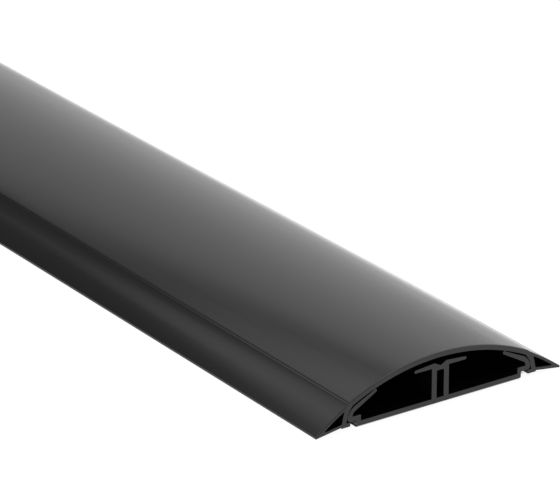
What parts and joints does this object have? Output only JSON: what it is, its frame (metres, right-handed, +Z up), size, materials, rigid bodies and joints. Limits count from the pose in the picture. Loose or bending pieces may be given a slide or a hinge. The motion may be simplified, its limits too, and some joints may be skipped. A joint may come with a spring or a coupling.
{
  "type": "floor cable duct",
  "caption": "Low domed floor cable duct: a clip-on cover with hollow ramp edges over a base tray with cable compartments either side of a T-armed divider.",
  "frame": {"origin": "middle of the duct's length and width, on the floor it lies on", "axes": "+X across the duct, +Y along its length away from the near end, +Z up"},
  "size_m": [0.075, 1, 0.0137],
  "materials": {
    "duct_plastic": "satin extruded PVC, dark grey",
    "tape": "thin double-sided adhesive tape"
  },
  "bodies": {
    "base": {"duct_base": "duct_plastic", "adhesive_strip_left": "tape", "adhesive_strip_right": "tape"},
    "cover": {"duct_cover": "duct_plastic"}
  },
  "joints": [
    {"name": "cover_slide", "type": "slide", "parent": "base", "child": "cover", "axis": [0, 1, 0], "range_m": [-1, 1]}
  ]
}
